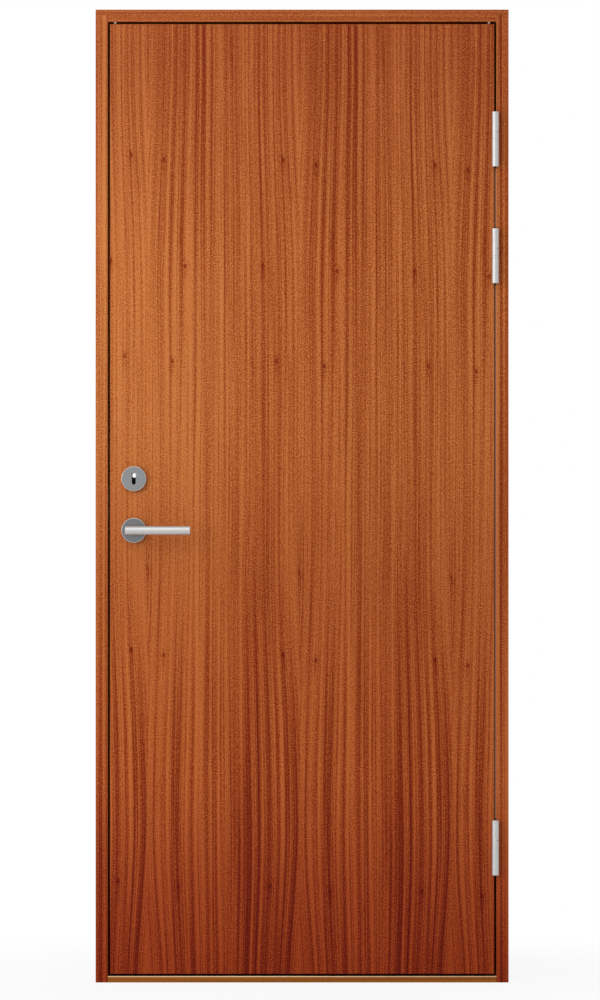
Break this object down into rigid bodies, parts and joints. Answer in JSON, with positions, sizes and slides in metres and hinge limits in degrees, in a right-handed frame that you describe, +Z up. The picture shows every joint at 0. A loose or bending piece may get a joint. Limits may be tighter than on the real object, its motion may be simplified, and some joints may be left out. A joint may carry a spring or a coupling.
{
  "type": "fire door",
  "caption": "Flush veneered fire door leaf with a mortise lock and lever handles, hung on lift-off hinges in a rebated timber frame with a threshold.",
  "frame": {"origin": "centre of the threshold's underside, on the floor, at half the frame's depth", "axes": "+Z up, +X from the latch side to the hinge side, +Y from the front, which the leaf opens towards, to the back"},
  "size_m": [0.885, 0.173, 2.085],
  "materials": {
    "leaf_veneer": "satin lacquered ribbon-striped veneer",
    "lipping_timber": "satin lacquered hardwood",
    "core_board": "raw particle board",
    "frame_timber": "satin lacquered hardwood",
    "threshold_timber": "oiled hardwood",
    "seal_rubber": "matt",
    "fire_strip": "matt",
    "hinge_steel": "satin zinc plate",
    "lock_steel": "satin",
    "handle_steel": "fine satin"
  },
  "bodies": {
    "frame": {"latch_jamb": "frame_timber", "hinge_jamb": "frame_timber", "frame_head": "frame_timber", "threshold": "threshold_timber", "latch_jamb_gasket": "seal_rubber", "hinge_jamb_gasket": "seal_rubber", "head_gasket": "seal_rubber", "threshold_gasket": "seal_rubber", "latch_jamb_fire_strip": "fire_strip", "head_fire_strip": "fire_strip", "hinge_fire_strip_upper": "fire_strip", "hinge_fire_strip_lower": "fire_strip", "strike_plate": "lock_steel", "top_hinge_frame_half": "hinge_steel", "middle_hinge_frame_half": "hinge_steel", "bottom_hinge_frame_half": "hinge_steel"},
    "leaf": {"leaf_core": "core_board", "front_face": "leaf_veneer", "back_face": "leaf_veneer", "latch_edge": "lipping_timber", "hinge_edge": "lipping_timber", "top_edge": "lipping_timber", "bottom_edge": "lipping_timber", "lock_case": "lock_steel", "lock_faceplate": "lock_steel", "latch_bolt": "lock_steel", "dead_bolt": "lock_steel", "top_hinge_leaf_half": "hinge_steel", "middle_hinge_leaf_half": "hinge_steel", "bottom_hinge_leaf_half": "hinge_steel", "front_key_rose": "handle_steel", "back_key_rose": "handle_steel", "front_lever_rose": "handle_steel", "back_lever_rose": "handle_steel"},
    "lever": {"front_lever": "handle_steel", "back_lever": "handle_steel", "spindle": "handle_steel"}
  },
  "joints": [
    {"name": "leaf_swing", "type": "hinge", "parent": "frame", "child": "leaf", "pos_m": [0.414, -0.0605, 1], "axis": [0, 0, 1], "range_deg": [0, 170]},
    {"name": "lever_turn", "type": "hinge", "parent": "leaf", "child": "lever", "pos_m": [-0.3605, -0.0255, 0.969], "axis": [0, 1, 0], "range_deg": [0, 45], "stiffness_Nm_per_rad": 1, "springref_deg": -45.84}
  ]
}
